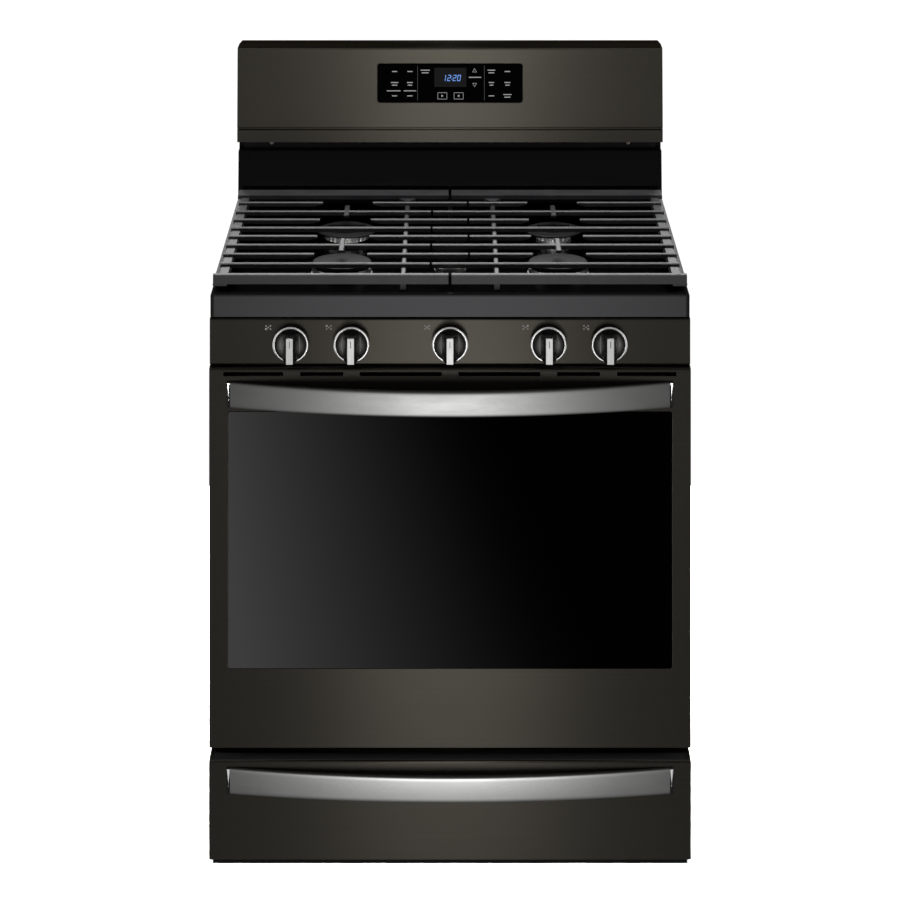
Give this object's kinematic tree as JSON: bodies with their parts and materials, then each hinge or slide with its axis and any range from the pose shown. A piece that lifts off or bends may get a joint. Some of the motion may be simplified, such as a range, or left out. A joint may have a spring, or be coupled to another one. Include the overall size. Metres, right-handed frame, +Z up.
{
  "type": "freestanding gas range",
  "caption": "Freestanding gas range with a drop-down oven door, storage drawer, cast-iron grates, front knobs and a backguard with a clock.",
  "frame": {"origin": "on the floor, under the centre of the overall box", "axes": "+Z up, front of the range towards -Y, +X to the right of a person facing it"},
  "size_m": [0.759, 0.735, 1.168],
  "materials": {
    "painted_side": "semi-gloss dark enamel",
    "zinc_sheet": "zinc-plated sheet steel",
    "brass_fitting": "machined brass",
    "oven_enamel": "speckled porcelain enamel",
    "front_enamel": "gloss black enamel",
    "steel_tube": "heat-tinted steel tube",
    "rack_wire": "bright chrome wire",
    "cooktop_enamel": "dark grey satin enamel",
    "black_stainless": "horizontally brushed black stainless steel",
    "handle_steel": "satin brushed steel with polished ends",
    "black_glass": "gloss black tinted glass",
    "gasket_fibre": "woven glass-fibre braid",
    "display_module": "dark display module",
    "knob_metal": "satin and polished metal on a black skirt",
    "burner_aluminium": "cast aluminium",
    "cap_enamel": "matt black enamelled iron",
    "cast_iron_grate": "matt black enamelled cast iron",
    "foot_plastic": "black moulded plastic"
  },
  "bodies": {
    "range_body": {"side_panel_left": "painted_side", "side_panel_right": "painted_side", "rear_panel": "zinc_sheet", "base_frame": "zinc_sheet", "gas_inlet": "brass_fitting", "front_frame": "front_enamel", "oven_cavity": "oven_enamel", "oven_floor": "oven_enamel", "bake_burner": "steel_tube", "broil_burner": "steel_tube", "fan_cover": "oven_enamel", "door_hinge_left": "zinc_sheet", "door_hinge_right": "zinc_sheet", "drawer_rail_left": "zinc_sheet", "drawer_rail_right": "zinc_sheet", "control_panel": "black_stainless", "gas_manifold": "zinc_sheet", "cooktop": "cooktop_enamel", "burner_base_front_left": "burner_aluminium", "burner_base_front_right": "burner_aluminium", "burner_base_rear_left": "burner_aluminium", "burner_base_rear_right": "burner_aluminium", "burner_base_centre": "burner_aluminium", "backguard_riser": "front_enamel", "backguard_shell": "black_stainless", "console_glass": "black_glass", "clock_display": "display_module"},
    "oven_door": {"door_skin": "black_stainless", "door_glass": "black_glass", "door_inner_panel": "oven_enamel", "door_inner_glass": "black_glass", "door_gasket": "gasket_fibre", "door_handle": "handle_steel"},
    "drawer": {"drawer_front": "black_stainless", "drawer_box": "zinc_sheet", "drawer_handle": "handle_steel"},
    "upper_rack": {"oven_rack_upper": "rack_wire"},
    "lower_rack": {"oven_rack_lower": "rack_wire"},
    "fan_wheel": {"convection_fan": "zinc_sheet"},
    "left_grate": {"grate_left": "cast_iron_grate"},
    "right_grate": {"grate_right": "cast_iron_grate"},
    "foot_1": {"levelling_foot_1": "foot_plastic"},
    "foot_2": {"levelling_foot_2": "foot_plastic"},
    "foot_3": {"levelling_foot_3": "foot_plastic"},
    "foot_4": {"levelling_foot_4": "foot_plastic"},
    "stem_1": {"valve_stem_1": "brass_fitting"},
    "dial_1": {"knob_1": "knob_metal"},
    "stem_2": {"valve_stem_2": "brass_fitting"},
    "dial_2": {"knob_2": "knob_metal"},
    "stem_3": {"valve_stem_3": "brass_fitting"},
    "dial_3": {"knob_3": "knob_metal"},
    "stem_4": {"valve_stem_4": "brass_fitting"},
    "dial_4": {"knob_4": "knob_metal"},
    "stem_5": {"valve_stem_5": "brass_fitting"},
    "dial_5": {"knob_5": "knob_metal"},
    "cap_front_left": {"burner_cap_front_left": "cap_enamel"},
    "cap_front_right": {"burner_cap_front_right": "cap_enamel"},
    "cap_rear_left": {"burner_cap_rear_left": "cap_enamel"},
    "cap_rear_right": {"burner_cap_rear_right": "cap_enamel"},
    "cap_centre": {"burner_cap_centre": "cap_enamel"}
  },
  "joints": [
    {"name": "door_open", "type": "hinge", "parent": "range_body", "child": "oven_door", "pos_m": [0, -0.295, 0.196], "axis": [1, 0, 0], "range_deg": [0, 88], "stiffness_Nm_per_rad": 10, "springref_deg": -28.65},
    {"name": "drawer_slide", "type": "slide", "parent": "range_body", "child": "drawer", "axis": [0, -1, 0], "range_m": [0, 0.4]},
    {"name": "upper_rack_slide", "type": "slide", "parent": "range_body", "child": "upper_rack", "axis": [0, -1, 0], "range_m": [0, 0.04]},
    {"name": "lower_rack_slide", "type": "slide", "parent": "range_body", "child": "lower_rack", "axis": [0, -1, 0], "range_m": [0, 0.04]},
    {"name": "fan_spin", "type": "hinge", "parent": "range_body", "child": "fan_wheel", "pos_m": [0, 0.208, 0.5], "axis": [0, -1, 0], "continuous": true},
    {"name": "left_grate_lift", "type": "slide", "parent": "range_body", "child": "left_grate", "axis": [0, 0, 1], "range_m": [0, 0.1]},
    {"name": "right_grate_lift", "type": "slide", "parent": "range_body", "child": "right_grate", "axis": [0, 0, 1], "range_m": [0, 0.1]},
    {"name": "cap_lift_front_left", "type": "slide", "parent": "range_body", "child": "cap_front_left", "axis": [0, 0, 1], "range_m": [0, 0.012]},
    {"name": "cap_lift_front_right", "type": "slide", "parent": "range_body", "child": "cap_front_right", "axis": [0, 0, 1], "range_m": [0, 0.012]},
    {"name": "cap_lift_rear_left", "type": "slide", "parent": "range_body", "child": "cap_rear_left", "axis": [0, 0, 1], "range_m": [0, 0.012]},
    {"name": "cap_lift_rear_right", "type": "slide", "parent": "range_body", "child": "cap_rear_right", "axis": [0, 0, 1], "range_m": [0, 0.012]},
    {"name": "cap_lift_centre", "type": "slide", "parent": "range_body", "child": "cap_centre", "axis": [0, 0, 1], "range_m": [0, 0.012]},
    {"name": "valve_push_1", "type": "slide", "parent": "range_body", "child": "stem_1", "axis": [0, 1, 0], "range_m": [0, 0.003], "stiffness_N_per_m": 900, "springref_m": -0.002},
    {"name": "knob_turn_1", "type": "hinge", "parent": "stem_1", "child": "dial_1", "pos_m": [-0.2505, -0.3065, 0.822], "axis": [0, -1, 0], "range_deg": [0, 270]},
    {"name": "valve_push_2", "type": "slide", "parent": "range_body", "child": "stem_2", "axis": [0, 1, 0], "range_m": [0, 0.003], "stiffness_N_per_m": 900, "springref_m": -0.002},
    {"name": "knob_turn_2", "type": "hinge", "parent": "stem_2", "child": "dial_2", "pos_m": [-0.155, -0.3065, 0.822], "axis": [0, -1, 0], "range_deg": [0, 270]},
    {"name": "valve_push_3", "type": "slide", "parent": "range_body", "child": "stem_3", "axis": [0, 1, 0], "range_m": [0, 0.003], "stiffness_N_per_m": 900, "springref_m": -0.002},
    {"name": "knob_turn_3", "type": "hinge", "parent": "stem_3", "child": "dial_3", "pos_m": [0, -0.3065, 0.822], "axis": [0, -1, 0], "range_deg": [0, 270]},
    {"name": "valve_push_4", "type": "slide", "parent": "range_body", "child": "stem_4", "axis": [0, 1, 0], "range_m": [0, 0.003], "stiffness_N_per_m": 900, "springref_m": -0.002},
    {"name": "knob_turn_4", "type": "hinge", "parent": "stem_4", "child": "dial_4", "pos_m": [0.155, -0.3065, 0.822], "axis": [0, -1, 0], "range_deg": [0, 270]},
    {"name": "valve_push_5", "type": "slide", "parent": "range_body", "child": "stem_5", "axis": [0, 1, 0], "range_m": [0, 0.003], "stiffness_N_per_m": 900, "springref_m": -0.002},
    {"name": "knob_turn_5", "type": "hinge", "parent": "stem_5", "child": "dial_5", "pos_m": [0.2505, -0.3065, 0.822], "axis": [0, -1, 0], "range_deg": [0, 270]},
    {"name": "foot_turn_1", "type": "hinge", "parent": "range_body", "child": "foot_1", "pos_m": [-0.34, -0.222, 0], "axis": [0, 0, 1], "range_deg": [-180, 180]},
    {"name": "foot_turn_2", "type": "hinge", "parent": "range_body", "child": "foot_2", "pos_m": [0.34, -0.222, 0], "axis": [0, 0, 1], "range_deg": [-180, 180]},
    {"name": "foot_turn_3", "type": "hinge", "parent": "range_body", "child": "foot_3", "pos_m": [-0.34, 0.318, 0], "axis": [0, 0, 1], "range_deg": [-180, 180]},
    {"name": "foot_turn_4", "type": "hinge", "parent": "range_body", "child": "foot_4", "pos_m": [0.34, 0.318, 0], "axis": [0, 0, 1], "range_deg": [-180, 180]}
  ]
}
